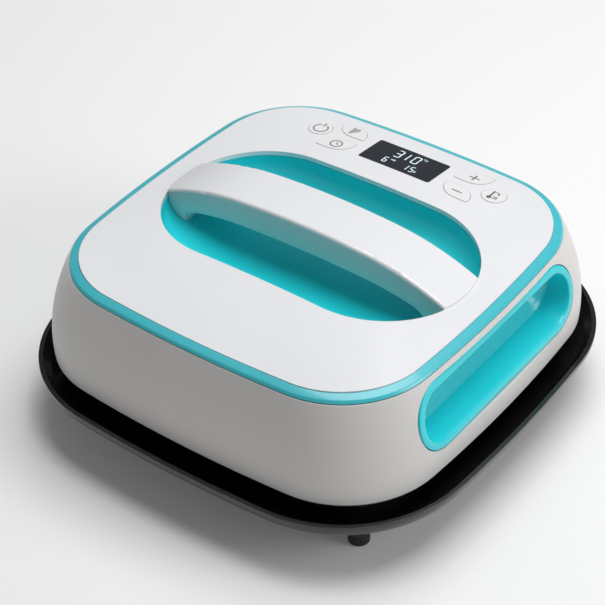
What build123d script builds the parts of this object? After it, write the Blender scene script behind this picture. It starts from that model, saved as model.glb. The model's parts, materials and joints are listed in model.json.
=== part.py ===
from build123d import *
from math import cos, radians, sin, sqrt, tan
import os

# Square heat press of the hand-lifted kind, standing in its insulated base.
# +Z is up, -Y is the front, X runs along the carrying handle.
# The origin is the centre of the base, level with the bottom of its feet.  Millimetres.

# ---- heights of the main levels ----
Z_TRAY_FLOOR = 9.0
Z_TRAY_RIM = 41.6
Z_PLATFORM = 37.2
Z_PLATE_LOW = 40.0
Z_FRAME_LOW = 46.4
Z_SKIRT_LOW = 49.0
Z_RING_LOW = 113.8
Z_RING_LEDGE = 115.4
Z_RING_STEP = 116.2
Z_DECK_EDGE = 117.8
Z_HANDLE_TOP = 139.0

# ---- half widths of the square plan shapes, with their corner radii ----
SIDE_RADIUS = 1015.0
TRAY_HALF, TRAY_CORNER = 158.9, 90.0
TRAY_WALL, TRAY_FLOOR = 2.9, 3.2
PLATFORM_HALF, PLATFORM_CORNER, PLATFORM_WALL = 128.0, 30.0, 3.0
SKIRT_HALF, SKIRT_CORNER = 145.0, 67.5
SKIRT_BULGE, SKIRT_BULGE_CORNER = 147.2, 69.0
SKIRT_TOP_HALF, SKIRT_TOP_CORNER = 133.0, 63.6
RING_STEP_HALF, RING_STEP_CORNER = 131.3, 62.4
RING_INNER_HALF, RING_INNER_CORNER = 123.6, 54.5
DECK_HALF, DECK_CORNER = 126.0, 57.4
PLATE_HALF, PLATE_CORNER = 127.0, 28.0

# ---- deck, well and handle ----
DOME_RISE = 9.0
DECK_WALL = 3.2
SHELL_WALL = 2.6
WELL_CENTRE = 47.8
WELL_RADIUS = 62.6
WELL_FILLET = 15.0
WELL_FLOOR_SLOPE = 10.0
LINER_WALL = 2.4
HANDLE_HALF = 19.0
HANDLE_SKIN = 2.6
HANDLE_TOP_RADIUS = 600.0
HANDLE_TOP_BREAK = 48.0
HANDLE_END_RADIUS = 182.0
HANDLE_UNDER = 116.7
HANDLE_UNDER_RADIUS = 900.0
HANDLE_UNDER_END_RADIUS = 200.0

# ---- controls ----
WINDOW_LENGTH, WINDOW_WIDTH, WINDOW_CORNER = 56.2, 28.2, 1.8
WINDOW_Y = 97.4
LEAF_LENGTH, LEAF_WIDTH = 23.8, 15.0
LEAF_ROUND, LEAF_SHARP = 13.4, 1.2
LEAF_X, LEAF_FRONT_Y, LEAF_BACK_Y = 48.1, 87.2, 108.7
ROUND_X, ROUND_Y, ROUND_DIAMETER = 69.3, 98.6, 17.2
BUTTON_GAP = 0.25
BUTTON_PROUD = 0.25
BUTTON_TRAVEL = 0.8
Z_SWITCH_TOP = 112.1
Z_BOARD = 107.0

# ---- side grips ----
GRIP_Y = -1.5
GRIP_HALF_LENGTH = 86.9
GRIP_LOW, GRIP_HIGH = 64.6, 110.5
GRIP_CORNER = 22.6
GRIP_BAND = 5.4
GRIP_WALL = 2.2

# ---- heater stack ----
PLATE_THICK = 8.0
HEATER_THICK = 1.4
BLANKET_THICK = 10.0
SHIELD_THICK = 1.0
Z_SHIELD = 59.5
PLATE_FIXINGS = [(x, y) for x in (-95.0, 0.0, 95.0) for y in (-95.0, 0.0, 95.0) if x or y]

# ---- fixings and feet ----
FOOT_DIAMETER, FOOT_HEIGHT, FOOT_STUD = 13.7, 8.6, 3.4
FOOT_XY = 108.1
COVER_FIXINGS = [(sx * x, sy * y) for x, y in ((84.0, 112.0), (112.0, 84.0)) for sx in (-1, 1) for sy in (-1, 1)]
HOUSING_FIXINGS = [(sx * x, sy * y) for x, y in ((62.0, 137.0), (137.0, 62.0)) for sx in (-1, 1) for sy in (-1, 1)]
SHIELD_FIXINGS = [(sx * 34.0, sy * 135.4) for sx in (-1, 1) for sy in (-1, 1)]
GLAND_X, GLAND_Z = 0.0, 70.0
BIG = 400.0


# ---------------------------------------------------------------- plan shapes

def rounded_square(half, corner):
    """Square with slightly bowed sides and large corners, as a face on the XY plane."""
    reach = SIDE_RADIUS - corner
    lift = SIDE_RADIUS - half
    centre = (sqrt(2 * reach ** 2 - lift ** 2) - lift) / 2
    scale = SIDE_RADIUS / reach
    tangent = (centre * scale, -lift + (centre + lift) * scale)
    middle = centre + corner / sqrt(2)
    edges = []
    for turn in range(4):
        side = ThreePointArc((-tangent[0], tangent[1]), (0, half), tangent)
        bend = ThreePointArc(tangent, (middle, middle), (tangent[1], tangent[0]))
        edges += [edge.rotate(Axis.Z, -90 * turn) for edge in (side, bend)]
    return Face(Wire(edges))


def plan(half, corner, z):
    return Pos(0, 0, z) * rounded_square(half, corner)


def block(half, corner, z0, z1):
    """Upright solid of a rounded square."""
    return extrude(plan(half, corner, z0), z1 - z0, dir=(0, 0, 1))


def tapered(stations, ruled=True):
    """Solid through rounded squares, each given as (half, corner, z)."""
    return loft([plan(*station) for station in stations], ruled=ruled)


def column(x, y, z0, z1, diameter):
    return Pos(x, y, (z0 + z1) / 2) * Cylinder(diameter / 2, z1 - z0)


def columns(places, z0, z1, diameter):
    return [column(x, y, z0, z1, diameter) for x, y in places]


def brick(x0, x1, y0, y1, z0, z1):
    return Pos((x0 + x1) / 2, (y0 + y1) / 2, (z0 + z1) / 2) * Box(x1 - x0, y1 - y0, z1 - z0)


def cut(solid, tools):
    for tool in tools:
        solid = solid - tool
    return solid


def join(solid, extras):
    for extra in extras:
        solid = solid + extra
    return solid


# ---------------------------------------------------------------- shared forms

def skirt_station(z, inset):
    t = (z - Z_SKIRT_LOW) / (Z_RING_LOW - Z_SKIRT_LOW)
    half = (1 - t) ** 2 * SKIRT_HALF + 2 * t * (1 - t) * SKIRT_BULGE + t ** 2 * SKIRT_TOP_HALF
    corner = (1 - t) ** 2 * SKIRT_CORNER + 2 * t * (1 - t) * SKIRT_BULGE_CORNER + t ** 2 * SKIRT_TOP_CORNER
    return half - inset, corner - inset, z


def skirt_form(inset, z0=Z_SKIRT_LOW, z1=Z_RING_LOW):
    """Solid of the bowed side housing, its wall moved in by inset."""
    steps = 5
    heights = [z0 + (z1 - z0) * i / steps for i in range(steps + 1)]
    return tapered([skirt_station(z, inset) for z in heights], ruled=False)


def dome_slab(top, bottom):
    """Solid between two copies of the deck's dome, raised by top and bottom."""
    reach = 1.1 * DECK_HALF
    end = 1 - (reach / DECK_HALF) ** 2
    weight = (end, 2 - end, end)
    along = (-reach, 0, reach)
    net = [[Vector(along[i], along[j], Z_DECK_EDGE + bottom + DOME_RISE * weight[i] * weight[j])
            for j in range(3)] for i in range(3)]
    return Solid.extrude(Face.make_bezier_surface(net), Vector(0, 0, top - bottom))


def stadium(radius, z0, z1):
    """Upright solid with the plan of the handle well."""
    body = brick(-WELL_CENTRE, WELL_CENTRE, -radius, radius, z0, z1)
    return body + column(-WELL_CENTRE, 0, z0, z1, 2 * radius) + column(WELL_CENTRE, 0, z0, z1, 2 * radius)


def bowl_profile(grow):
    """Half section of the well, from its axis out to its wall, pushed outwards by grow."""
    slope = radians(WELL_FLOOR_SLOPE)
    fillet = WELL_FILLET + grow
    wall = WELL_RADIUS - 0.2 + grow
    bend_x = WELL_RADIUS - 0.2 - WELL_FILLET
    bend_z = Z_DECK_EDGE - 1.0
    low = (bend_x + fillet * sin(slope), bend_z - fillet * cos(slope))
    half = slope + (radians(90) - slope) / 2
    mid = (bend_x + fillet * sin(half), bend_z - fillet * cos(half))
    dish = low[0] / sin(slope)
    floor_z = low[1] - dish * (1 - cos(slope))
    rise = (dish * sin(slope / 2), floor_z + dish * (1 - cos(slope / 2)))
    return (0, floor_z), rise, low, mid, (wall, bend_z)


def bowl_form(grow):
    """Solid filling the handle well: a half section run straight, then turned round both ends."""
    centre, rise, low, mid, high = [(x, 0, z) for x, z in bowl_profile(grow)]
    top = Z_HANDLE_TOP + 10
    edges = [ThreePointArc(centre, rise, low),
             ThreePointArc(low, mid, high),
             Line(high, (high[0], 0, top)),
             Line((high[0], 0, top), (0, 0, top)),
             Line((0, 0, top), centre)]
    half_section = Face(Wire(edges))
    end = Pos(WELL_CENTRE, 0, 0) * revolve(half_section.rotate(Axis.Z, -90), Axis.Z, 180)
    side = Pos(-WELL_CENTRE, 0, 0) * half_section.rotate(Axis.Z, 90)
    run = extrude(side, 2 * WELL_CENTRE, dir=(1, 0, 0))
    return run + mirror(run, Plane.XZ) + end + mirror(end, Plane.YZ)


def arch_point(x, crown, middle_radius, end_radius, step):
    """Height and slope of a handle arch made of a flat middle arc and two rounder end arcs."""
    drop_mid = middle_radius - sqrt(middle_radius ** 2 - step ** 2)
    if x <= step:
        return crown - middle_radius + sqrt(middle_radius ** 2 - x ** 2)
    sine = step / middle_radius
    centre_x = step - end_radius * sine
    centre_z = crown - drop_mid - end_radius * sqrt(1 - sine ** 2)
    return centre_z + sqrt(end_radius ** 2 - (x - centre_x) ** 2)


def arch_edges(length, crown, middle_radius, end_radius, lower=0.0):
    """Arch from left to right in the XZ plane, as three tangent arcs."""
    step = HANDLE_TOP_BREAK

    def at(x):
        return (x, 0, arch_point(abs(x), crown, middle_radius, end_radius, step) - lower)
    half = (step + length) / 2
    return [ThreePointArc(at(-length), at(-half), at(-step)),
            ThreePointArc(at(-step), at(0), at(step)),
            ThreePointArc(at(step), at(half), at(length))]


def top_arch(length, lower):
    return arch_edges(length, Z_HANDLE_TOP, HANDLE_TOP_RADIUS, HANDLE_END_RADIUS, lower)


def across_handle(edges, half):
    """Closed XZ outline made into a solid from -half to +half in Y."""
    return extrude(Face(Wire(edges)), half, dir=(0, 1, 0), both=True)


def ends(edges):
    return edges[0] @ 0, edges[-1] @ 1


def bridge_block(top_lower, bottom_z, half, length=116.0):
    """Solid under the handle's top arch down to a flat bottom."""
    edges = top_arch(length, top_lower)
    left, right = ends(edges)
    low_left = (left.X, 0, bottom_z)
    low_right = (right.X, 0, bottom_z)
    edges += [Line(right, low_right), Line(low_right, low_left), Line(low_left, left)]
    return across_handle(edges, half)


def under_block(lift, half, foot_x):
    """Solid hanging from above down to the handle's underside, its ends flaring down to the well."""
    edges = arch_edges(84.0, HANDLE_UNDER + lift, HANDLE_UNDER_RADIUS, HANDLE_UNDER_END_RADIUS)
    left, right = ends(edges)
    low_z, top_z, reach = 90.0, 150.0, 116.0
    for side, start in ((1, right), (-1, left)):
        tangent = edges[-1] % 1 if side > 0 else -1 * (edges[0] % 0)
        toe = (side * foot_x, 0, low_z)
        flare = TangentArc(start, (side * (foot_x - 0.6), 0, 101.5 + lift), tangent=tangent)
        tip = flare @ 1
        walls = [flare, Line(tip, toe), Line(toe, (side * reach, 0, low_z)),
                 Line((side * reach, 0, low_z), (side * reach, 0, top_z))]
        edges = edges + walls if side > 0 else walls[::-1] + edges
    edges.append(Line((reach, 0, top_z), (-reach, 0, top_z)))
    return across_handle(edges, half)


def leaf(mirrored, grow):
    """Outline of a leaf button: two opposite corners nearly sharp and two widely rounded."""
    x, y = LEAF_LENGTH / 2 + grow, LEAF_WIDTH / 2 + grow
    big, small = LEAF_ROUND + grow, LEAF_SHARP + max(grow, -0.8)
    shape = Rectangle(2 * x, 2 * y)
    blunt = [v for v in shape.vertices() if (v.X * v.Y < 0) != mirrored]
    shape = fillet(blunt, min(big, 2 * y - small - 0.05))
    keen = [v for v in shape.vertices() if abs(abs(v.X) - x) < 0.01 and abs(abs(v.Y) - y) < 0.01]
    return fillet(keen, small)


def button_outline(kind, grow):
    if kind == "round":
        return Circle(ROUND_DIAMETER / 2 + grow)
    return leaf(kind == "leaf_flipped", grow)


BUTTONS = {
    "power_button": ("round", -ROUND_X, ROUND_Y),
    "unit_button": ("round", ROUND_X, ROUND_Y),
    "timer_button": ("leaf", -LEAF_X, LEAF_FRONT_Y),
    "level_button": ("leaf_flipped", -LEAF_X, LEAF_BACK_Y),
    "plus_button": ("leaf", LEAF_X, LEAF_BACK_Y),
    "minus_button": ("leaf_flipped", LEAF_X, LEAF_FRONT_Y),
}


def button_prism(name, grow):
    kind, x, y = BUTTONS[name]
    return extrude(Pos(x, y, Z_BOARD) * button_outline(kind, grow), 30, dir=(0, 0, 1))


def window_prism(grow):
    shape = RectangleRounded(WINDOW_LENGTH + 2 * grow, WINDOW_WIDTH + 2 * grow, WINDOW_CORNER + max(grow, 0))
    return extrude(Pos(0, WINDOW_Y, Z_BOARD) * shape, 30, dir=(0, 0, 1))


def grip_outline(inset):
    """Opening of the side grip, as a prism along X."""
    height = GRIP_HIGH - GRIP_LOW - 2 * inset
    length = 2 * (GRIP_HALF_LENGTH - inset)
    shape = Plane.YZ * RectangleRounded(length, height, GRIP_CORNER - inset)
    return extrude(Pos(90, GRIP_Y, (GRIP_LOW + GRIP_HIGH) / 2) * shape, 80, dir=(1, 0, 0))


def grip_section(grow):
    """Cavity of the side grip in section: sloping floor, a back wall of three facets, a roof."""
    g = grow
    corners = [(170, 70.0 - g), (143, 68.4 - g), (122.4 - g * 0.6, 63.6 - g), (121.0 - g, 70.6),
               (118.6 - g, 77.6), (114.8 - g, 84.6), (113.0 - g, 93.0), (117.0 - g * 0.6, 103.4 + g),
               (136, 105.0 + g), (170, 107.0 + g)]
    points = [(x, 0, z) for x, z in corners]
    return extrude(Face(Wire(Polyline(*points, close=True))), 120, dir=(0, 1, 0), both=True)


# ---------------------------------------------------------------- base

def tray_outside():
    """Outer form of the base: a shallow dish whose side turns up into an upright rim."""
    form = tapered([(121.0, 52.0, Z_TRAY_FLOOR), (153.6, 84.7, 31.2)])
    form += tapered([(153.6, 84.7, 31.2), (156.8, 87.9, 34.0), (158.4, 89.5, 37.0),
                     (TRAY_HALF, TRAY_CORNER, 40.0)], ruled=False)
    return form + block(TRAY_HALF, TRAY_CORNER, 40.0, Z_TRAY_RIM)


def tray_inside(inset=0.0):
    """The hollow of the dish, up past its rim, drawn in by inset."""
    half, corner = TRAY_HALF - TRAY_WALL - inset, TRAY_CORNER - TRAY_WALL - inset
    knee = (151.2 - inset, 82.5 - inset, 34.6)
    form = tapered([(119.0 - inset, 50.0 - inset, Z_TRAY_FLOOR + TRAY_FLOOR), knee])
    form += tapered([knee, (half, corner, 39.5)])
    return form + block(half, corner, 39.5, Z_TRAY_RIM + 1)


def base_tray():
    shell = join(tray_outside(), columns(foot_places(), FOOT_HEIGHT, 18.0, FOOT_DIAMETER))
    shell = shell - tray_inside()
    shell = join(shell, columns(foot_places(), FOOT_HEIGHT, Z_TRAY_FLOOR + TRAY_FLOOR, FOOT_DIAMETER))
    shell = shell - block(104.0, 20.0, Z_TRAY_FLOOR - 1, Z_TRAY_FLOOR + TRAY_FLOOR + 1)
    shell = join(shell, corner_guides(tray_inside()))
    return cut(shell, columns(foot_places(), FOOT_HEIGHT - 1, FOOT_HEIGHT + FOOT_STUD + 1, 6.0))


def base_platform():
    """Raised hollow plinth that seats in the dish and carries the pad."""
    half, corner, wall = PLATFORM_HALF, PLATFORM_CORNER, PLATFORM_WALL
    plinth = block(half, corner, Z_TRAY_FLOOR + TRAY_FLOOR, Z_PLATFORM) & tray_inside()
    return plinth - (block(half - wall, corner - wall, Z_TRAY_FLOOR, Z_PLATFORM - wall) & tray_inside(wall))


def foot_places():
    return [(sx * FOOT_XY, sy * FOOT_XY) for sx in (-1, 1) for sy in (-1, 1)]


def corner_guides(inside):
    """Sloping locators in the four corners that centre the press as it is lowered."""
    guides = []
    for turn in range(4):
        half_width, near, far, rib = 12.2, 171.0, 192.0, 4.0
        outline = Polyline((near, 0, 20), (far, 0, 20), (far, 0, 33.0), (near, 0, 28.0), close=True)
        guide = extrude(Face(Wire(outline)), half_width, dir=(0, 1, 0), both=True)
        gusset = Polyline((near + 2, 0, 26), (far, 0, 26), (far, 0, 37.0), (near + 9, 0, 34.0), close=True)
        guide += extrude(Face(Wire(gusset)), rib, dir=(0, 1, 0), both=True)
        slot = brick(near - 1, near + 6, -9.6, -7.4, 24.0, 50.0)
        guide = (guide - slot).rotate(Axis.Z, 45 + 90 * turn)
        guides.append(guide & inside)
    return guides


def base_pad():
    return block(126.5, 28.5, Z_PLATFORM, Z_PLATE_LOW - 0.3)


def base_feet():
    feet = []
    for x, y in foot_places():
        foot = Pos(x, y, FOOT_HEIGHT / 2) * Cylinder(FOOT_DIAMETER / 2, FOOT_HEIGHT)
        foot = chamfer(foot.edges().group_by(Axis.Z)[0], 0.8)
        feet.append(foot + column(x, y, FOOT_HEIGHT, FOOT_HEIGHT + FOOT_STUD, 5.8))
    return feet


# ---------------------------------------------------------------- outer shells of the press

def side_housing():
    shell = skirt_form(0) - skirt_form(SHELL_WALL, Z_SKIRT_LOW - 3, Z_RING_LOW + 3)
    flange = block(SKIRT_TOP_HALF - 1, SKIRT_TOP_CORNER - 1, 111.2, Z_RING_LOW) - block(118.0, 48.0, 110.0, 115.0)
    relief = brick(LEAF_X - 14, LEAF_X + 14, 100.0, LEAF_BACK_Y + 9.5, 110.0, 115.0)
    flange = cut(flange, [relief, mirror(relief, Plane.YZ)])
    shell = join(shell + flange, columns(COVER_FIXINGS, 111.2, Z_RING_LOW, 12.0))
    for x, y in HOUSING_FIXINGS:
        if abs(y) > abs(x):
            lug = brick(x - 4.5, x + 4.5, min(y, y * 1.05) - 4, max(y, y * 1.05) + 4, Z_SKIRT_LOW, 58.0)
        else:
            lug = brick(min(x, x * 1.05) - 4, max(x, x * 1.05) + 4, y - 4.5, y + 4.5, Z_SKIRT_LOW, 58.0)
        shell = shell + (lug & skirt_form(1.0))
    shell = cut(shell, columns(HOUSING_FIXINGS, Z_SKIRT_LOW - 1, 57.0, 2.8))
    shell = cut(shell, columns(COVER_FIXINGS, 110.0, 115.0, 3.4))
    grip = grip_outline(-0.2)
    shell = cut(shell, [grip, mirror(grip, Plane.YZ)])
    return shell - (Pos(GLAND_X, 140, GLAND_Z) * Rotation(90, 0, 0) * Cylinder(7.1, 30))


def trim_ring():
    body = tapered([(SKIRT_TOP_HALF - 0.4, SKIRT_TOP_CORNER, Z_RING_LOW),
                    (RING_STEP_HALF, RING_STEP_CORNER, Z_RING_STEP)])
    body += tapered([(RING_STEP_HALF, RING_STEP_CORNER, Z_RING_STEP),
                     (DECK_HALF + 0.1, DECK_CORNER + 0.1, Z_DECK_EDGE)])
    body = body - block(DECK_HALF + 0.08, DECK_CORNER + 0.08, Z_RING_LEDGE, Z_DECK_EDGE + 2)
    return body - block(RING_INNER_HALF, RING_INNER_CORNER, Z_RING_LOW - 1, Z_RING_LEDGE + 1)


def handle_cap():
    """Glossy top of the handle: an arched strip trimmed along the round ends of the well."""
    strip = bridge_block(0.0, 110.0, HANDLE_HALF)
    long_edges = [e for e in strip.edges().filter_by(lambda e: abs(abs(e.center().Y) - HANDLE_HALF) < 0.01)
                  if e.center().Z > 123]
    strip = fillet(long_edges, 2.2)
    strip = strip - bridge_block(HANDLE_SKIN, 100.0, HANDLE_HALF + 1, 117.0)
    return strip & end_trim()


def end_trim():
    """Stadium whose top rises at 42 degrees from its rim, so the handle ends in a bevel on the arc."""
    rim_z, rise = 121.1, 30.0
    run = rise / tan(radians(42))
    low = stadium(WELL_RADIUS, 100.0, rim_z)
    body = extrude(Plane.YZ * Pos(0, 0) * Face(Wire(Polyline(
        (-WELL_RADIUS, rim_z), (WELL_RADIUS, rim_z), (WELL_RADIUS - run, rim_z + rise),
        (-WELL_RADIUS + run, rim_z + rise), close=True))), WELL_CENTRE, dir=(1, 0, 0), both=True)
    cone = Cone(WELL_RADIUS, WELL_RADIUS - run, rise)
    tips = [Pos(side * WELL_CENTRE, 0, rim_z + rise / 2) * cone for side in (-1, 1)]
    return join(low + body, tips)


def top_cover():
    deck = dome_slab(0, -DECK_WALL) & block(DECK_HALF, DECK_CORNER, 100, 150)
    rim = block(DECK_HALF + 1, DECK_CORNER + 1, 100, Z_RING_LEDGE)
    deck = deck - (rim - block(RING_INNER_HALF - 0.1, RING_INNER_CORNER - 0.1, 99, Z_RING_LEDGE + 1))
    deck = deck - stadium(WELL_RADIUS, 100, 150)
    deck = deck + handle_cap()
    deck = cut(deck, [window_prism(0)] + [button_prism(name, 0) for name in BUTTONS])
    bosses = columns(COVER_FIXINGS, Z_RING_LOW, 121.0, 7.0)
    bosses = [boss & dome_slab(-1, -12) for boss in bosses]
    deck = join(deck, bosses)
    return cut(deck, columns(COVER_FIXINGS, Z_RING_LOW - 1, 117.6, 2.8))


def handle_lower_shell():
    outer = under_block(0.0, HANDLE_HALF - 0.1, 93.6)
    low_edges = [e for e in outer.edges().filter_by(lambda e: abs(abs(e.center().Y) - HANDLE_HALF + 0.1) < 0.01)
                 if 103 < e.center().Z < 118 and abs(e.center().X) < 92]
    outer = fillet(low_edges, 4.5)
    outer = outer & bridge_block(HANDLE_SKIN, 80.0, HANDLE_HALF + 1, 115.0)
    outer = outer & bowl_form(-0.12)
    hollow = under_block(2.4, HANDLE_HALF - 2.6, 96.2) & brick(-97, 97, -30, 30, 106.5, 150)
    outer = outer - hollow
    posts = [column(x, 0, z, z + 20, 7.0) for x, z in ((-70, 110), (70, 110))]
    posts = [post & under_block(0.5, 30, 93.6) & bridge_block(6.4, 80, 30) for post in posts]
    outer = join(outer, posts)
    for side in (-1, 1):
        outer = outer - column(side * 70, 0, 105, 140, 3.0) - column(side * 70, 0, 100, 115.4, 5.8)
    return outer


def handle_bar():
    bar = bridge_block(HANDLE_SKIN + 0.5, 80.0, 9.0, 92.0) - bridge_block(HANDLE_SKIN + 3.5, 79.0, 30.0, 93.0)
    return cut(bar, [column(side * 70, 0, 100, 150, 3.0) for side in (-1, 1)])


def handle_screws():
    return [column(side * 70, 0, 113.2, 115.3, 5.4) + column(side * 70, 0, 115.3, 130.6, 2.8) for side in (-1, 1)]


def well_liner():
    skin = bowl_form(LINER_WALL) - bowl_form(0.0)
    flange = stadium(WELL_RADIUS + 5.0, 110, 130) - stadium(WELL_RADIUS + 1.0, 100, 140)
    flange = flange & dome_slab(-DECK_WALL - 0.05, -DECK_WALL - 2.2)
    skin = skin & dome_slab(-DECK_WALL - 0.05, -60)
    return skin + flange


def grip_liner():
    """Teal cup of the right grip: a band flush with the housing and a stepped cavity behind it."""
    opening = grip_outline(GRIP_BAND)
    cavity = opening & grip_section(0.0)
    cup = grip_outline(GRIP_BAND - GRIP_WALL) & grip_section(GRIP_WALL) & skirt_form(SHELL_WALL + 0.1)
    band = (skirt_form(0.0) - skirt_form(SHELL_WALL + 0.1)) & grip_outline(0.0)
    return (cup + band) - cavity


# ---------------------------------------------------------------- display and buttons

def display_window():
    return window_prism(-0.1) & dome_slab(-0.05, -2.0)


def lcd_module():
    return window_prism(-0.8) & dome_slab(-2.1, -5.6)


def button(name):
    cap = button_prism(name, -BUTTON_GAP) & dome_slab(BUTTON_PROUD, -3.7)
    rim = button_prism(name, 0.8) & dome_slab(-DECK_WALL - 0.3, -DECK_WALL - 1.3)
    kind, x, y = BUTTONS[name]
    stem = column(x, y, Z_SWITCH_TOP + BUTTON_TRAVEL + 0.3, 122.0, 4.0) & dome_slab(-3.9, -12)
    return cap + rim + stem


def control_board():
    board = brick(-78, 78, 78, 112.5, Z_BOARD, Z_BOARD + 1.6)
    return cut(board, columns([(-74, 80.5), (74, 80.5), (-20, 80.5), (20, 80.5)], 100, 112, 3.2))


def button_switches():
    switches = []
    for kind, x, y in BUTTONS.values():
        case = brick(x - 3, x + 3, y - 3, y + 3, Z_BOARD + 1.6, Z_SWITCH_TOP - 0.5)
        switches.append(case + column(x, y, Z_SWITCH_TOP - 0.5, Z_SWITCH_TOP, 3.4))
    return switches


def display_spacers():
    """Four pillars that carry the control board under the deck."""
    pillars = []
    for x, y in ((-74, 80.5), (74, 80.5), (-20, 80.5), (20, 80.5)):
        sleeve = column(x, y, Z_BOARD + 1.6, 124, 5.0) & dome_slab(-DECK_WALL - 0.02, -20)
        pillars.append(sleeve)
    return pillars


def buzzer():
    return column(34, 94, Z_BOARD - 7.5, Z_BOARD, 12.0)


# ---------------------------------------------------------------- heater and chassis

def bottom_frame():
    """Black heat-proof frame that closes the housing from below round the heat plate."""
    low = block(143.2, 65.7, Z_FRAME_LOW, Z_SKIRT_LOW) - block(129.0, 30.0, Z_FRAME_LOW - 1, Z_SKIRT_LOW + 1)
    upstand = block(131.6, 32.6, Z_SKIRT_LOW, Z_SHIELD) - block(129.0, 30.0, Z_SKIRT_LOW - 1, Z_SHIELD + 1)
    frame = join(low + upstand, columns(SHIELD_FIXINGS, Z_SKIRT_LOW - 1, Z_SHIELD, 7.6))
    frame = cut(frame, columns(SHIELD_FIXINGS, Z_SKIRT_LOW, Z_SHIELD + 1, 2.8))
    frame = cut(frame, columns(HOUSING_FIXINGS, Z_FRAME_LOW - 1, Z_SKIRT_LOW + 1, 3.2))
    return cut(frame, columns(HOUSING_FIXINGS, Z_FRAME_LOW - 1, Z_FRAME_LOW + 1.5, 6.2))


def heat_plate():
    plate = block(PLATE_HALF, PLATE_CORNER, Z_PLATE_LOW, Z_PLATE_LOW + PLATE_THICK)
    plate = chamfer(plate.edges().group_by(Axis.Z)[0], 1.0)
    return cut(plate, columns(PLATE_FIXINGS, Z_PLATE_LOW + 3, 60, 3.4))


def layer(half, corner, z0, thick, hole):
    sheet = block(half, corner, z0, z0 + thick)
    return cut(sheet, columns(PLATE_FIXINGS, z0 - 1, z0 + thick + 1, hole))


def heater_sheet():
    z0 = Z_PLATE_LOW + PLATE_THICK
    return layer(120, 22, z0, HEATER_THICK, 9.4)


def insulation_blanket():
    z0 = Z_PLATE_LOW + PLATE_THICK + HEATER_THICK
    sheet = layer(124, 25, z0, Z_SHIELD - z0, 9.4)
    return cut(sheet, [brick(-8, 8, 10, 26, z0 - 1, z0 + 8), brick(-30, -18, 34, 50, z0 - 1, z0 + 9)])


def heat_shield():
    sheet = layer(139.6, 64.0, Z_SHIELD, SHIELD_THICK, 3.6)
    sheet = cut(sheet, columns(SHIELD_FIXINGS, Z_SHIELD - 1, Z_SHIELD + 2, 3.4))
    return cut(sheet, columns(POWER_POSTS, Z_SHIELD - 1, Z_SHIELD + 2, 3.2))


def plate_standoffs():
    z0 = Z_PLATE_LOW + PLATE_THICK
    return [column(x, y, z0, Z_SHIELD, 9.0) - column(x, y, z0 - 1, Z_SHIELD + 1, 3.6) for x, y in PLATE_FIXINGS]


def screw(x, y, z_head, head_height, z_tip, head=6.0, shank=3.0):
    """Pan-head screw; the head sits on z_head and the shank runs to z_tip."""
    up = 1 if z_tip < z_head else -1
    top = z_head + up * head_height
    return column(x, y, min(z_head, top), max(z_head, top), head) + \
        column(x, y, min(z_head, z_tip), max(z_head, z_tip), shank)


def plate_screws():
    top = Z_SHIELD + SHIELD_THICK
    return [screw(x, y, top, 2.2, Z_PLATE_LOW + 3.4, head=6.4) for x, y in PLATE_FIXINGS]


def shield_screws():
    top = Z_SHIELD + SHIELD_THICK
    return [screw(x, y, top, 2.0, Z_SKIRT_LOW + 1, shank=2.6) for x, y in SHIELD_FIXINGS]


def housing_screws():
    return [screw(x, y, Z_FRAME_LOW + 1.5, 1.4, 56.5, head=5.8, shank=2.6) for x, y in HOUSING_FIXINGS]


def cover_screws():
    return [screw(x, y, 111.2, 2.0, 117.2, head=5.8, shank=2.6) for x, y in COVER_FIXINGS]


def thermistor():
    return brick(-6, 6, 12, 24, 49.4, 53.4) + Pos(0, 18, 55.4) * Cylinder(2.0, 4)


def thermal_cutoff():
    return brick(-29, -19, 35, 49, 49.4, 55.4)


# ---------------------------------------------------------------- power electronics

POWER_POSTS = [(sx * 62.0, sy * 38.0) for sx in (-1, 1) for sy in (-1, 1)]
Z_POWER_BOARD = 68.5


def board_posts():
    z0 = Z_SHIELD + SHIELD_THICK
    return [column(x, y, z0, Z_POWER_BOARD, 6.0) + column(x, y, z0 - 0.9, z0, 3.0) for x, y in POWER_POSTS]


def power_board():
    board = brick(-68, 68, -44, 44, Z_POWER_BOARD, Z_POWER_BOARD + 1.6)
    return cut(board, columns(POWER_POSTS, Z_POWER_BOARD - 1, Z_POWER_BOARD + 3, 3.2))


def board_screws():
    return [column(x, y, Z_POWER_BOARD + 1.6, Z_POWER_BOARD + 3.4, 5.4) +
            column(x, y, Z_POWER_BOARD, Z_POWER_BOARD + 1.6, 3.0) for x, y in POWER_POSTS]


Z_PARTS = Z_POWER_BOARD + 1.6


def transformer():
    core = brick(-52, -24, -26, 2, Z_PARTS, Z_PARTS + 18)
    coil = brick(-48, -28, -30, 6, Z_PARTS + 4, Z_PARTS + 14)
    return core + coil


def relay():
    return fillet(brick(-14, 6, -30, -14, Z_PARTS, Z_PARTS + 16).edges().filter_by(Axis.Z), 1.0)


def triac_heatsink():
    base = brick(18, 50, -30, -27, Z_PARTS, Z_PARTS + 18)
    fins = [brick(x, x + 1.6, -27, -14, Z_PARTS, Z_PARTS + 18) for x in (18, 25.6, 33.2, 40.8, 48.4)]
    return join(base, fins)


def filter_capacitor():
    return column(30, 18, Z_PARTS, Z_PARTS + 20, 14.0)


def terminal_block():
    block_body = brick(-14, 14, 30, 40, Z_PARTS, Z_PARTS + 11)
    return cut(block_body, [Pos(x, 40, Z_PARTS + 4) * Rotation(90, 0, 0) * Cylinder(2.0, 8) for x in (-9, 0, 9)])


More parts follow.
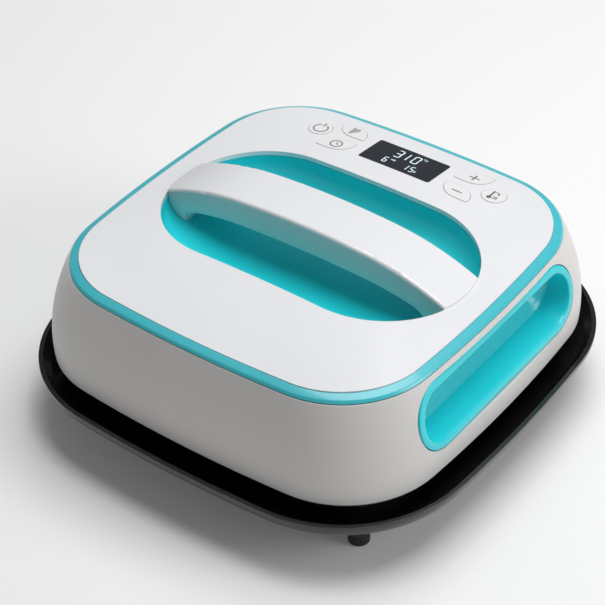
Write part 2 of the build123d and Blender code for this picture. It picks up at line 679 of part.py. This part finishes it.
def cord_gland():
    """Bush for the mains lead, in the middle of the back wall."""
    wall_y = skirt_station(GLAND_Z, 0.1)[0]
    bush = Pos(GLAND_X, wall_y, GLAND_Z) * Rotation(90, 0, 0) * Cylinder(9.5, 3.0)
    neck = Pos(GLAND_X, wall_y - 6, GLAND_Z) * Rotation(90, 0, 0) * Cylinder(7.0, 12.0)
    nut = Pos(GLAND_X, wall_y - 9.4, GLAND_Z) * Rotation(90, 0, 0) * Cylinder(9.5, 3.4)
    bore = Pos(GLAND_X, wall_y - 4, GLAND_Z) * Rotation(90, 0, 0) * Cylinder(4.0, 40.0)
    body = bush - skirt_form(0.0)
    return (body + neck + nut) - bore


# ---------------------------------------------------------------- writing the nodes

def write(name, shape):
    solids = shape if isinstance(shape, list) else [shape]
    pieces = [solid for item in solids for solid in item.solids()]
    node = pieces[0] if len(pieces) == 1 else Compound(children=pieces)
    export_step(node, f"parts/{name}.step")
    print(f"{name:20s} {len(pieces)} solids")


def main():
    os.makedirs("parts", exist_ok=True)
    makers = [base_tray, base_platform, base_pad, base_feet, side_housing, trim_ring, top_cover, handle_lower_shell,
              handle_bar, handle_screws, well_liner, display_window, lcd_module, control_board,
              button_switches, display_spacers, buzzer, bottom_frame, heat_plate, heater_sheet,
              insulation_blanket, heat_shield, plate_standoffs, plate_screws, shield_screws,
              housing_screws, cover_screws, thermistor, thermal_cutoff, board_posts, power_board,
              board_screws, transformer, relay, triac_heatsink, filter_capacitor, terminal_block,
              cord_gland]
    for maker in makers:
        write(maker.__name__, maker())
    right = grip_liner()
    write("right_grip_liner", right)
    write("left_grip_liner", mirror(right, Plane.YZ))
    for name in BUTTONS:
        write(name, button(name))


main()
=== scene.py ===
import json
from math import asin, cos, pi, radians, sin, sqrt

import bmesh
import bpy
from mathutils import Matrix, Vector


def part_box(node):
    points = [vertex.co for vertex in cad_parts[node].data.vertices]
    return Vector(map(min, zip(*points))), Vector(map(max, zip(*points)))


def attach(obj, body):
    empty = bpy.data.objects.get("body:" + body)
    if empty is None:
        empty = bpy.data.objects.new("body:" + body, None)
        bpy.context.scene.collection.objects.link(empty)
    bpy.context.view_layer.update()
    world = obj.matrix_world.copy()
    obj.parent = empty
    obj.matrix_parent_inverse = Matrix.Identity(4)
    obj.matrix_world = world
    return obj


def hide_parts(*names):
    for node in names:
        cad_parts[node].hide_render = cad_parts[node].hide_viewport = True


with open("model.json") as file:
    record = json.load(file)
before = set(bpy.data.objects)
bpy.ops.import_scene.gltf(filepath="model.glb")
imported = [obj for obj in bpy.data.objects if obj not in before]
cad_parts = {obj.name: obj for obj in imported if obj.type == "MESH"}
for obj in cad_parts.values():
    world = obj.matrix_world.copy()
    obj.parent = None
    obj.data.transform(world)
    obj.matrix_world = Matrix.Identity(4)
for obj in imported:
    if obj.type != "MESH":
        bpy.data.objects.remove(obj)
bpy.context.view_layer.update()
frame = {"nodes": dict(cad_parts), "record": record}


# ---------------------------------------------------------------- shader maths

class Wire:
    """A socket in a shader. Arithmetic on it adds Math nodes; make() adds any other node."""

    def __init__(self, tree, socket=None):
        self.tree = tree
        self.socket = socket

    def make(self, kind, settings=None, links=None, output=0):
        node = self.tree.nodes.new("ShaderNode" + kind)
        for name, value in (settings or {}).items():
            setattr(node, name, value)
        for name, value in (links or {}).items():
            if isinstance(value, Wire):
                self.tree.links.new(value.socket, node.inputs[name])
            else:
                node.inputs[name].default_value = value
        return Wire(self.tree, node.outputs[output])

    def math(self, operation, first, second):
        return self.make("Math", {"operation": operation}, {0: first, 1: second})

    def __add__(self, other):
        return self.math("ADD", self, other)

    def __radd__(self, other):
        return self.math("ADD", other, self)

    def __sub__(self, other):
        return self.math("SUBTRACT", self, other)

    def __rsub__(self, other):
        return self.math("SUBTRACT", other, self)

    def __mul__(self, other):
        return self.math("MULTIPLY", self, other)

    def between(self, low, high):
        """0 below low, 1 above high, smooth in between."""
        settings = {"interpolation_type": "SMOOTHSTEP"}
        return self.make("MapRange", settings, {"Value": self, "From Min": low, "From Max": high})

    def blend(self, first, second):
        """The colour first where this is 0, second where it is 1."""
        links = {"Factor": self, 6: first, 7: second}
        return self.make("Mix", {"data_type": "RGBA"}, links, 2)


def colour(red, green, blue):
    """A linear colour from its 0 to 255 display values."""
    def linear(value):
        share = value / 255
        return share / 12.92 if share <= 0.04045 else ((share + 0.055) / 1.055) ** 2.4
    return (linear(red), linear(green), linear(blue), 1.0)


def scaled(tint, share):
    return (tint[0] * share, tint[1] * share, tint[2] * share, 1.0)


def lighter(tint, share):
    """The tint moved towards white by share."""
    return tuple(value + (1 - value) * share for value in tint[:3]) + (1.0,)


def start_finish(name):
    """A new material with its Principled shader; gives the material, shader node and a Wire."""
    material = bpy.data.materials.new(name)
    material.use_nodes = True
    tree = material.node_tree
    shader = tree.nodes["Principled BSDF"]
    return material, shader, Wire(tree)


def connect(wire, shader, socket):
    wire.tree.links.new(wire.socket, shader.inputs[socket])


def moulded(name, tint, rough, grain=0.04, grain_size=0.0006, mottle=0.05, edge=0.0005, wear=0.0,
            coat=0.0, spread=0.06):
    """Moulded plastic or rubber: slow colour drift, uneven gloss, fine grain, softened and rubbed edges."""
    material, shader, wire = start_finish(name)
    place = wire.make("TexCoord", None, None, 3)
    drift = wire.make("TexNoise", None, {"Vector": place, "Scale": 14.0, "Detail": 3.0})
    speck = wire.make("TexNoise", None, {"Vector": place, "Scale": 160.0, "Detail": 4.0})
    fine = wire.make("TexNoise", None, {"Vector": place, "Scale": 0.6 / grain_size, "Detail": 2.0})
    round_normal = wire.make("Bevel", {"samples": 4}, {"Radius": edge})
    flat_normal = wire.make("NewGeometry", None, None, 1)
    agree = wire.make("VectorMath", {"operation": "DOT_PRODUCT"}, {0: round_normal, 1: flat_normal}, 1)
    rubbed = (1 - agree).between(0.03, 0.35) * speck.between(0.3, 0.6) * wear
    base = drift.between(0.3, 0.7).blend(scaled(tint, 1 - mottle), scaled(tint, 1 + mottle))
    base = rubbed.blend(base, lighter(tint, 0.35))
    connect(base, shader, "Base Color")
    connect(rough + (speck - 0.5) * spread + (drift - 0.5) * spread + rubbed * 0.1, shader, "Roughness")
    bump = wire.make("Bump", None, {"Strength": grain, "Distance": grain_size, "Height": fine,
                                    "Normal": round_normal})
    connect(bump, shader, "Normal")
    shader.inputs["Coat Weight"].default_value = coat
    shader.inputs["Coat Roughness"].default_value = 0.05
    return material


def brushed(name, tint, rough, along=0):
    """Rolled or brushed sheet metal with fine drawn lines along one axis."""
    material, shader, wire = start_finish(name)
    place = wire.make("TexCoord", None, None, 3)
    stretch = [900.0, 900.0, 900.0]
    stretch[along] = 12.0
    lines_place = wire.make("Mapping", None, {"Vector": place, "Scale": stretch})
    lines = wire.make("TexNoise", None, {"Vector": lines_place, "Scale": 1.0, "Detail": 3.0})
    cloud = wire.make("TexNoise", None, {"Vector": place, "Scale": 30.0, "Detail": 3.0})
    connect(cloud.blend(scaled(tint, 0.88), tint), shader, "Base Color")
    connect(rough + (lines - 0.5) * 0.18, shader, "Roughness")
    bump = wire.make("Bump", None, {"Strength": 0.12, "Distance": 0.0002, "Height": lines})
    connect(bump, shader, "Normal")
    shader.inputs["Metallic"].default_value = 1.0
    return material


def glowing(name, tint, strength):
    """Lit segments of the display, a little uneven."""
    material, shader, wire = start_finish(name)
    place = wire.make("TexCoord", None, None, 3)
    cloud = wire.make("TexNoise", None, {"Vector": place, "Scale": 300.0, "Detail": 1.0})
    lit = cloud.blend(scaled(tint, 0.86), tint)
    connect(lit, shader, "Base Color")
    connect(lit, shader, "Emission Color")
    shader.inputs["Emission Strength"].default_value = strength
    shader.inputs["Roughness"].default_value = 0.4
    return material


def fibrous(name, tint):
    """Needled ceramic wool: tangled fibres at two scales, no gloss."""
    material, shader, wire = start_finish(name)
    place = wire.make("TexCoord", None, None, 3)
    stretched = wire.make("Mapping", None, {"Vector": place, "Scale": (300.0, 900.0, 300.0)})
    threads = wire.make("TexNoise", None, {"Vector": stretched, "Scale": 1.0, "Detail": 6.0,
                                           "Distortion": 2.0})
    lumps = wire.make("TexNoise", None, {"Vector": place, "Scale": 60.0, "Detail": 4.0})
    connect(threads.blend(scaled(tint, 0.7), tint), shader, "Base Color")
    connect(0.9 + (threads - 0.5) * 0.1, shader, "Roughness")
    bump = wire.make("Bump", None, {"Strength": 0.8, "Distance": 0.001, "Height": threads + lumps})
    connect(bump, shader, "Normal")
    return material


def circuit_board(name, tint):
    """Solder mask with copper tracks showing through as a lighter, raised pattern."""
    material, shader, wire = start_finish(name)
    place = wire.make("TexCoord", None, None, 3)
    cells = wire.make("Mapping", None, {"Vector": place, "Rotation": (0.0, 0.0, radians(45)),
                                        "Scale": (260.0, 260.0, 260.0)})
    tracks = wire.make("TexBrick", {"offset": 0.35, "squash": 2.2, "squash_frequency": 3},
                       {"Vector": cells, "Scale": 1.0, "Mortar Size": 0.06, "Mortar Smooth": 0.2}, 1)
    cloud = wire.make("TexNoise", None, {"Vector": place, "Scale": 40.0, "Detail": 3.0})
    mask = tracks.between(0.3, 0.7)
    connect(mask.blend(cloud.blend(scaled(tint, 0.8), tint), scaled(tint, 1.7)), shader, "Base Color")
    connect(0.38 - mask * 0.1 + (cloud - 0.5) * 0.08, shader, "Roughness")
    bump = wire.make("Bump", None, {"Strength": 0.4, "Distance": 0.0001, "Height": mask})
    connect(bump, shader, "Normal")
    return material


def silicone_mat(name, tint):
    """Heat-safe silicone with a fine moulded pimple texture and a dusty bloom."""
    material, shader, wire = start_finish(name)
    place = wire.make("TexCoord", None, None, 3)
    pimples = wire.make("TexVoronoi", {"feature": "SMOOTH_F1"}, {"Vector": place, "Scale": 420.0})
    bloom = wire.make("TexNoise", None, {"Vector": place, "Scale": 22.0, "Detail": 5.0})
    connect(bloom.between(0.3, 0.75).blend(scaled(tint, 0.85), lighter(tint, 0.06)), shader, "Base Color")
    connect(0.72 + (bloom - 0.5) * 0.2, shader, "Roughness")
    bump = wire.make("Bump", None, {"Strength": 0.5, "Distance": 0.0004, "Height": 1 - pimples})
    connect(bump, shader, "Normal")
    return material


FINISH = {
    "gloss_white": moulded("gloss white shell", colour(240, 241, 244), 0.14, grain=0.02, mottle=0.012,
                           edge=0.0006, wear=0.1, coat=0.4),
    "satin_white": moulded("satin white housing", colour(218, 216, 214), 0.40, mottle=0.015, wear=0.2),
    "handle_grey": moulded("satin grey handle shell", colour(228, 224, 221), 0.36, mottle=0.02, wear=0.2),
    "teal_trim": moulded("teal trim", colour(72, 196, 208), 0.28, grain=0.03, mottle=0.02, edge=0.0004,
                         wear=0.25, coat=0.3),
    "teal_liner": moulded("teal liner", colour(34, 214, 224), 0.32, grain=0.03, mottle=0.025, edge=0.0009,
                          wear=0.15, coat=0.2),
    "tray_black": moulded("black gloss tray", colour(27, 26, 26), 0.20, grain=0.02, mottle=0.08,
                          edge=0.0009, wear=0.35, coat=0.3),
    "foot_rubber": moulded("dark rubber foot", colour(44, 40, 38), 0.78, grain=0.2, grain_size=0.0004,
                           mottle=0.12),
    "pad_grey": silicone_mat("silicone pad", colour(92, 94, 96)),
    "frame_black": moulded("dark heat-proof frame", colour(62, 61, 60), 0.42, grain=0.1, mottle=0.08,
                           wear=0.3),
    "button_white": moulded("button white", colour(240, 240, 241), 0.24, grain=0.02, mottle=0.008,
                            coat=0.3),
    "window_black": moulded("smoked window", colour(36, 40, 49), 0.09, grain=0.0, mottle=0.04, edge=0.0002,
                            coat=0.6, spread=0.02),
    "lcd": moulded("display glass", colour(24, 30, 34), 0.12, grain=0.01, mottle=0.05),
    "board_green": circuit_board("circuit board", colour(24, 84, 52)),
    "steel": brushed("plated steel", colour(170, 172, 176), 0.30),
    "plate_coated": moulded("coated heat plate", colour(50, 48, 48), 0.36, grain=0.15, mottle=0.1,
                            wear=0.3),
    "mica": moulded("heater sheet", colour(176, 150, 104), 0.4, grain=0.2, mottle=0.15),
    "blanket": fibrous("insulation blanket", colour(222, 218, 208)),
    "component_black": moulded("component black", colour(22, 22, 24), 0.4, grain=0.1, mottle=0.1),
    "component_blue": moulded("component blue", colour(36, 74, 140), 0.35, grain=0.1, mottle=0.1),
    "terminal_green": moulded("terminal green", colour(40, 140, 80), 0.45, grain=0.1, mottle=0.1),
    "heatsink": brushed("heatsink metal", colour(140, 142, 146), 0.35, along=2),
}
PRINT_GREY = moulded("printed grey symbol", colour(108, 108, 113), 0.5, grain=0.0, mottle=0.05, edge=0.0001)
LIT_SEGMENT = glowing("lit display segment", colour(198, 216, 226), 0.55)
# Dark teal strip in the gap under the trim ring: painted shadow of the seam, not a real gasket.
SEAM_SHADOW_PAINT = moulded("painted seam shadow", colour(22, 40, 44), 0.7, mottle=0.1)


def dress_frame():
    """Gives each CAD node the finish of its record slot."""
    for part in frame["record"]["subparts"]:
        node = frame["nodes"][part["node"]]
        node.data.materials.clear()
        node.data.materials.append(FINISH[part["material_slot"]])


# ---------------------------------------------------------------- shapes shared by the pieces

MM = 0.001
SIDE_BOW = 1015.0 * MM
HOUSING_LOW, HOUSING_HIGH = 49.0, 113.8
HOUSING_HALVES = (145.0, 147.2, 133.0)
SIDE_STEPS = 14
CORNER_STEPS = 16
DECK_HALF = 126.0 * MM
DOME_RISE = 9.0 * MM
DECK_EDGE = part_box("trim_ring")[1].z


def deck_height(x, y):
    """Height of the domed deck at a place on its plan."""
    return DECK_EDGE + DOME_RISE * (1 - (x / DECK_HALF) ** 2) * (1 - (y / DECK_HALF) ** 2)


def square_outline(half, corner):
    """Points round a square with bowed sides and large corners."""
    reach = SIDE_BOW - corner
    lift = SIDE_BOW - half
    centre = (sqrt(2 * reach ** 2 - lift ** 2) - lift) / 2
    lean = asin(centre / reach)
    quarter = []
    for step in range(SIDE_STEPS):
        angle = lean * (2 * step / SIDE_STEPS - 1)
        quarter.append(Vector((SIDE_BOW * sin(angle), SIDE_BOW * cos(angle) - lift, 0)))
    for step in range(CORNER_STEPS):
        angle = lean + (pi / 2 - 2 * lean) * step / CORNER_STEPS
        quarter.append(Vector((centre + corner * sin(angle), centre + corner * cos(angle), 0)))
    return [Matrix.Rotation(-turn * pi / 2, 3, "Z") @ point for turn in range(4) for point in quarter]


def loop_band(form, outlines):
    """Grows a band through closed outlines that all have the same number of points."""
    order = form.verts.layers.int.new("order")
    ring = bmesh.ops.create_circle(form, segments=len(outlines[0]), radius=1.0)["verts"]
    for index, vert in enumerate(ring):
        vert[order] = index
    edges = [edge for edge in form.edges if edge.verts[0] in ring]
    first = edges
    for index, outline in enumerate(outlines):
        if index:
            grown = bmesh.ops.extrude_edge_only(form, edges=edges)["geom"]
            ring = [item for item in grown if isinstance(item, bmesh.types.BMVert)]
            fresh = set(ring)
            edges = [item for item in grown
                     if isinstance(item, bmesh.types.BMEdge) and fresh.issuperset(item.verts)]
        for vert in ring:
            vert.co = outline[vert[order]]
    return first, edges


def square_band(form, stations):
    """Grows a band through square outlines, each given as (half, corner, height) in millimetres."""
    outlines = []
    for half, corner, height in stations:
        rise = Vector((0, 0, height * MM))
        outlines.append([point + rise for point in square_outline(half * MM, corner * MM)])
    return loop_band(form, outlines)


def finish_piece(form, name, body, material, sharp=35.0, replaces=()):
    """Turns a bmesh into a named piece that rides on its body."""
    bmesh.ops.remove_doubles(form, verts=form.verts, dist=1e-7)
    bmesh.ops.recalc_face_normals(form, faces=form.faces)
    for face in form.faces:
        face.smooth = True
    for edge in form.edges:
        edge.smooth = edge.calc_face_angle(0.0) < radians(sharp)
    mesh = bpy.data.meshes.new(name)
    form.to_mesh(mesh)
    form.free()
    mesh.materials.append(material)
    piece = bpy.data.objects.new(name, mesh)
    bpy.context.scene.collection.objects.link(piece)
    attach(piece, body)
    if replaces:
        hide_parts(*replaces)
    return piece


# ---------------------------------------------------------------- printed symbols and display figures

def bar(form, centre, length, width, turn=0.0, point=0.0):
    """Flat bar; point tapers both of its ends to a tip, as on a display segment."""
    made = bmesh.ops.create_grid(form, x_segments=4, y_segments=2, size=0.5)["verts"]
    for vert in made:
        if abs(vert.co.x) > 0.49 and abs(vert.co.y) > 0.49:
            vert.co.x *= 1 - point * width / length
    size = Matrix.Diagonal((length * MM, width * MM, 1.0, 1.0))
    turned = Matrix.Rotation(radians(turn), 4, "Z") @ size
    place = Matrix.Translation((centre[0] * MM, centre[1] * MM, 0)) @ turned
    bmesh.ops.transform(form, matrix=place, verts=made)


def hoop(form, centre, radius, width, start=0.0, sweep=360.0):
    """Flat ring, or the part of one that starts at start degrees and runs for sweep."""
    before = set(form.verts)
    inner = form.verts.new(((radius - width / 2) * MM, 0, 0))
    outer = form.verts.new(((radius + width / 2) * MM, 0, 0))
    edge = form.edges.new((inner, outer))
    bmesh.ops.rotate(form, verts=[inner, outer], matrix=Matrix.Rotation(radians(start), 3, "Z"))
    bmesh.ops.spin(form, geom=[inner, outer, edge], axis=(0, 0, 1), angle=radians(sweep),
                   steps=max(6, round(sweep / 10)), use_merge=sweep >= 360.0)
    made = [vert for vert in form.verts if vert not in before]
    bmesh.ops.translate(form, verts=made, vec=(centre[0] * MM, centre[1] * MM, 0))


def disc(form, centre, radius):
    made = bmesh.ops.create_circle(form, cap_ends=True, segments=20, radius=radius * MM)["verts"]
    bmesh.ops.translate(form, verts=made, vec=(centre[0] * MM, centre[1] * MM, 0))


def lay_on_deck(name, strokes, at, lift, body, material):
    """Makes flat strokes into a thin inlay that follows the deck's dome, lift above it."""
    form = bmesh.new()
    for shape, *values in strokes:
        shape(form, *values)
    bmesh.ops.recalc_face_normals(form, faces=form.faces)
    for face in form.faces:
        if face.normal.z < 0:
            face.normal_flip()
    bmesh.ops.solidify(form, geom=form.faces[:], thickness=INLAY_THICK)
    bmesh.ops.translate(form, verts=form.verts, vec=(at[0] * MM, at[1] * MM, 0))
    highest = max(vert.co.z for vert in form.verts)
    for vert in form.verts:
        vert.co.z += deck_height(vert.co.x, vert.co.y) + lift - highest
    return finish_piece(form, name, body, material)


INLAY_THICK = 0.12 * MM
BUTTON_PROUD = 0.25 * MM
SYMBOL_STAND = 0.06 * MM
FIGURE_LIFT = -0.02 * MM
DISPLAY_MIDDLE = (0.0, 97.4)
SEGMENTS = {"0": "abcdef", "1": "bc", "3": "abcdg", "5": "acdfg", "6": "acdefg"}


def figure_strokes(figure, centre, height, width, stroke):
    """Strokes of one seven-segment figure."""
    x, y = centre
    side, tall = width / 2, height / 4
    tall_length, flat_length = height / 2 - stroke * 0.3, width - stroke * 0.3
    places = {"a": (0, 2 * tall, 0), "g": (0, 0, 0), "d": (0, -2 * tall, 0), "f": (-side, tall, 90),
              "b": (side, tall, 90), "e": (-side, -tall, 90), "c": (side, -tall, 90)}
    strokes = []
    for segment in SEGMENTS[figure]:
        dx, dy, turn = places[segment]
        length = tall_length if turn else flat_length
        strokes.append((bar, (x + dx, y + dy), length, stroke, turn, 0.5))
    return strokes


def add_figures():
    """The lit figures: set temperature above, level and seconds below, with small unit marks."""
    big = dict(height=9.2, width=4.2, stroke=1.0)
    small = dict(height=6.4, width=2.5, stroke=0.78)
    temperature = (figure_strokes("3", (-7.4, 5.2), **big) + figure_strokes("1", (-2.4, 5.2), **big)
                   + figure_strokes("0", (6.1, 5.2), **big))
    level = figure_strokes("6", (-10.7, -6.6), **small)
    seconds = figure_strokes("1", (5.5, -6.7), **small) + figure_strokes("5", (10.6, -6.7), **small)
    marks = [(hoop, (10.1, 9.9), 0.55, 0.3), (bar, (11.4, 9.0), 2.2, 0.35, 90),
             (bar, (12.2, 9.9), 1.4, 0.35), (bar, (12.1, 8.9), 1.1, 0.35)]
    marks += [(bar, (-7.4 + 0.9 * step, -4.2), 1.1 + 0.35 * step, 0.5, 90) for step in range(4)]
    marks += [(bar, (13.6, -9.3 + 0.7 * step), 1.3, 0.35) for step in range(4)]
    named = {"temperature_figures": temperature, "level_figure": level, "seconds_figures": seconds,
             "unit_marks": marks}
    for name, strokes in named.items():
        lay_on_deck(name, strokes, DISPLAY_MIDDLE, FIGURE_LIFT, "press", LIT_SEGMENT)


def button_middle(name):
    low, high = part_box(name)
    middle = (low + high) / 2
    return middle.x / MM, middle.y / MM


def add_symbols():
    """Printed symbols on the six buttons."""
    symbols = {
        "power_button": [(hoop, (0, 0), 5.0, 0.95, 115, 310), (bar, (0, 5.1), 4.2, 0.95, 90)],
        "timer_button": [(hoop, (0, 0), 4.1, 0.9), (bar, (0, 1.1), 2.6, 0.7, 90),
                         (bar, (0.9, -0.4), 2.4, 0.7, -30)],
        "plus_button": [(bar, (0, 0), 7.6, 1.0), (bar, (0, 0), 7.6, 1.0, 90)],
        "minus_button": [(bar, (0, 0), 7.4, 1.0)],
        "level_button": [(bar, (-2.2, 0), 9.0, 0.8, 90), (bar, (-0.8, 0.3), 8.0, 0.8, 90),
                         (bar, (0.6, 1.2), 6.4, 0.8, 90), (bar, (2.0, 2.2), 4.4, 0.8, 90)],
        "unit_button": [(disc, (-1.9, -3.5), 1.75), (bar, (-1.9, 0.9), 8.2, 1.3, 90),
                        (bar, (0.7, 4.0), 3.0, 0.8, 0), (bar, (2.1, 2.6), 3.0, 0.8, 90),
                        (bar, (1.7, -1.4), 3.2, 0.8, 0), (bar, (1.7, -3.4), 2.8, 0.8, 0),
                        (bar, (3.0, -2.4), 2.2, 0.8, 90)],
    }
    for button, strokes in symbols.items():
        symbol = button.replace("button", "symbol")
        lay_on_deck(symbol, strokes, button_middle(button), BUTTON_PROUD + SYMBOL_STAND, button,
                    PRINT_GREY)


# ---------------------------------------------------------------- trim ring and a painted shadow strip in its seam

RING_STEP, RING_TOP = 116.2, 117.8
RING_LEDGE = 115.45

def add_trim_ring():
    """Teal ring in two facets with softened edges, standing on a dark strip that paints the shadow in the
    seam above the housing.
    """
    form = bmesh.new()
    low, step, top = HOUSING_HIGH, RING_STEP, RING_TOP
    stations = [(123.7, 54.6, low + 0.3), (132.1, 63.1, low + 0.3), (132.45, 63.45, low + 0.6),
                (131.6, 62.7, step - 0.5), (131.25, 62.35, step - 0.1), (130.7, 61.8, step + 0.16),
                (126.9, 58.2, top - 0.26), (126.5, 57.9, top - 0.12), (126.15, 57.55, top - 0.25),
                (126.15, 57.55, RING_LEDGE), (123.7, 54.6, RING_LEDGE)]
    first, last = square_band(form, stations)
    bmesh.ops.bridge_loops(form, edges=first + last)
    finish_piece(form, "trim_ring_band", "press", FINISH["teal_trim"], 30.0, ["trim_ring"])
    # Thin dark band between the housing and the ring: a painted seam shadow.
    form = bmesh.new()
    stations = [(130.6, 61.5, low + 0.02), (132.2, 63.1, low + 0.02), (132.2, 63.1, low + 0.28),
                (130.6, 61.5, low + 0.28)]
    first, last = square_band(form, stations)
    bmesh.ops.bridge_loops(form, edges=first + last)
    finish_piece(form, "painted_seam_shadow", "press", SEAM_SHADOW_PAINT)


# ---------------------------------------------------------------- side grip cups

GRIP_MIDDLE = (-1.5, 87.55)
GRIP_HALF_LENGTH, GRIP_HALF_HEIGHT, GRIP_CORNER = 86.7, 22.75, 22.4
LEAST_CORNER = 2.0
GRIP_STEPS = 12


def housing_half(y, z):
    """Distance of the bowed side housing's outer face from the middle, in millimetres."""
    share = (z - HOUSING_LOW) / (HOUSING_HIGH - HOUSING_LOW)
    low, bulge, high = HOUSING_HALVES
    half = (1 - share) ** 2 * low + 2 * share * (1 - share) * bulge + share ** 2 * high
    bow = SIDE_BOW / MM
    return half - bow + sqrt(bow ** 2 - y ** 2)


def grip_loop(side, inset, sink=None, depth=None):
    """Grip outline moved in by inset: sunk below the housing's face, or flat at depth from the middle."""
    half_length, half_height = GRIP_HALF_LENGTH - inset, GRIP_HALF_HEIGHT - inset
    corner = max(GRIP_CORNER - inset, LEAST_CORNER)
    points = []
    for quarter, (across, up) in enumerate(((1, 1), (-1, 1), (-1, -1), (1, -1))):
        for step in range(GRIP_STEPS + 1):
            angle = pi / 2 * (quarter + step / GRIP_STEPS)
            y = GRIP_MIDDLE[0] + across * (half_length - corner) + corner * cos(angle)
            z = GRIP_MIDDLE[1] + up * (half_height - corner) + corner * sin(angle)
            x = housing_half(y, z) - sink if depth is None else depth
            points.append(Vector((side * x, y, z)) * MM)
    return points


def add_grip_cup(name, side, replaced):
    """Teal cup: a rolled band along the housing, a straight throat and a back wall stepped in facets."""
    outside = [(15.6, 113.4), (8.6, 118.6), (4.6, 121.8), (3.6, 128.0)]
    band = [(3.4, 2.6), (0.15, 2.4), (0.15, 0.5), (0.5, 0.12), (1.0, 0.05), (4.4, 0.05), (5.0, 0.3),
            (5.3, 0.9), (5.4, 2.4)]
    inside = [(6.0, 128.0), (6.3, 123.6), (7.2, 122.4), (9.9, 120.9), (10.3, 120.6), (13.2, 118.0),
              (13.7, 117.6), (17.0, 115.0), (17.6, 114.8)]
    outlines = [grip_loop(side, inset, depth=depth) for inset, depth in outside]
    outlines += [grip_loop(side, inset, sink=sink) for inset, sink in band]
    outlines += [grip_loop(side, inset, depth=depth) for inset, depth in inside]
    form = bmesh.new()
    first, last = loop_band(form, outlines)
    bmesh.ops.edgeloop_fill(form, edges=first)
    bmesh.ops.edgeloop_fill(form, edges=last)
    finish_piece(form, name, "press", FINISH["teal_liner"], 28.0, [replaced])


# ---------------------------------------------------------------- base pad

PAD_CORNER = 28.5


def add_base_pad():
    """Silicone mat with a rounded rim and a shallow moulded border groove."""
    form = bmesh.new()
    low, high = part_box("base_pad")
    z0, z1 = low.z / MM, high.z / MM
    section = [(0.6, z0), (0.0, z0 + 0.6), (0.0, z1 - 0.8), (0.3, z1 - 0.25), (0.9, z1), (7.0, z1),
               (7.6, z1 - 0.7), (10.0, z1 - 0.7), (10.6, z1)]
    stations = [(high.x / MM - inset, PAD_CORNER - inset, height) for inset, height in section]
    first, last = square_band(form, stations)
    bmesh.ops.edgeloop_fill(form, edges=first)
    bmesh.ops.edgeloop_fill(form, edges=last)
    finish_piece(form, "silicone_mat", "base", FINISH["pad_grey"], 40.0, ["base_pad"])


# ---------------------------------------------------------------- stage, camera and light

CAMERA_AZIMUTH = radians(37.299)
CAMERA_ELEVATION = radians(38.516)
CAMERA_ROLL = radians(-1.313)
CAMERA_DISTANCE = 1.24781
CAMERA_AIM = (0.0, 0.0, 0.04892)
CAMERA_ASIDE = (-0.01089, 0.01207)
FOCAL_IN_FRAMES = 3.14674


def add_camera():
    back = Vector((sin(CAMERA_AZIMUTH) * cos(CAMERA_ELEVATION),
                   -cos(CAMERA_AZIMUTH) * cos(CAMERA_ELEVATION), sin(CAMERA_ELEVATION)))
    level = Vector((cos(CAMERA_AZIMUTH), sin(CAMERA_AZIMUTH), 0))
    rise = back.cross(level)
    right = level * cos(CAMERA_ROLL) + rise * sin(CAMERA_ROLL)
    up = back.cross(right)
    place = Vector(CAMERA_AIM) + back * CAMERA_DISTANCE + right * CAMERA_ASIDE[0] + up * CAMERA_ASIDE[1]
    data = bpy.data.cameras.new("camera")
    data.sensor_width = 36.0
    data.lens = 36.0 * FOCAL_IN_FRAMES
    data.clip_end = 50
    camera = bpy.data.objects.new("camera", data)
    camera.matrix_world = Matrix.Translation(place) @ Matrix((right, up, back)).transposed().to_4x4()
    bpy.context.scene.collection.objects.link(camera)
    bpy.context.scene.camera = camera


FLOOR_HALF = 6.0
FLOOR_ALBEDO = 0.90
FLOOR_GLOW = 0.06
WORLD_LIGHT = 0.16
LIGHT_AIM = (0, 0, 0.08)
SOFTBOXES = {
    "top softbox": ((0.1, 0.5, 1.9), (1.6, 1.2), 30),
    "right softbox": ((1.7, 0.55, 0.9), (0.9, 0.9), 12),
}


def add_floor():
    mesh = bpy.data.meshes.new("floor")
    form = bmesh.new()
    bmesh.ops.create_grid(form, x_segments=1, y_segments=1, size=FLOOR_HALF)
    form.to_mesh(mesh)
    form.free()
    floor = bpy.data.objects.new("floor", mesh)
    bpy.context.scene.collection.objects.link(floor)
    material, shader, _ = start_finish("studio floor")
    shader.inputs["Base Color"].default_value = (FLOOR_ALBEDO, FLOOR_ALBEDO, FLOOR_ALBEDO, 1.0)
    shader.inputs["Roughness"].default_value = 0.9
    shader.inputs["Emission Color"].default_value = (1.0, 1.0, 1.0, 1.0)
    shader.inputs["Emission Strength"].default_value = FLOOR_GLOW
    mesh.materials.append(material)


def add_softbox(name, place, size, power):
    data = bpy.data.lights.new(name, "AREA")
    data.shape = "RECTANGLE"
    data.size, data.size_y = size
    data.energy = power
    lamp = bpy.data.objects.new(name, data)
    lamp.location = place
    aim = Vector(LIGHT_AIM) - Vector(place)
    lamp.rotation_euler = aim.to_track_quat("-Z", "Y").to_euler()
    bpy.context.scene.collection.objects.link(lamp)


def add_light():
    world = bpy.data.worlds.new("studio")
    world.use_nodes = True
    world.node_tree.nodes["Background"].inputs["Color"].default_value = (1.0, 1.0, 1.0, 1.0)
    world.node_tree.nodes["Background"].inputs["Strength"].default_value = WORLD_LIGHT
    bpy.context.scene.world = world
    for name, (place, size, power) in SOFTBOXES.items():
        add_softbox(name, place, size, power)
    bpy.context.scene.view_settings.view_transform = "Standard"


add_camera()
add_floor()
add_light()
dress_frame()
add_trim_ring()
add_base_pad()
add_grip_cup("right_grip_cup", 1, "right_grip_liner")
add_grip_cup("left_grip_cup", -1, "left_grip_liner")
add_symbols()
add_figures()
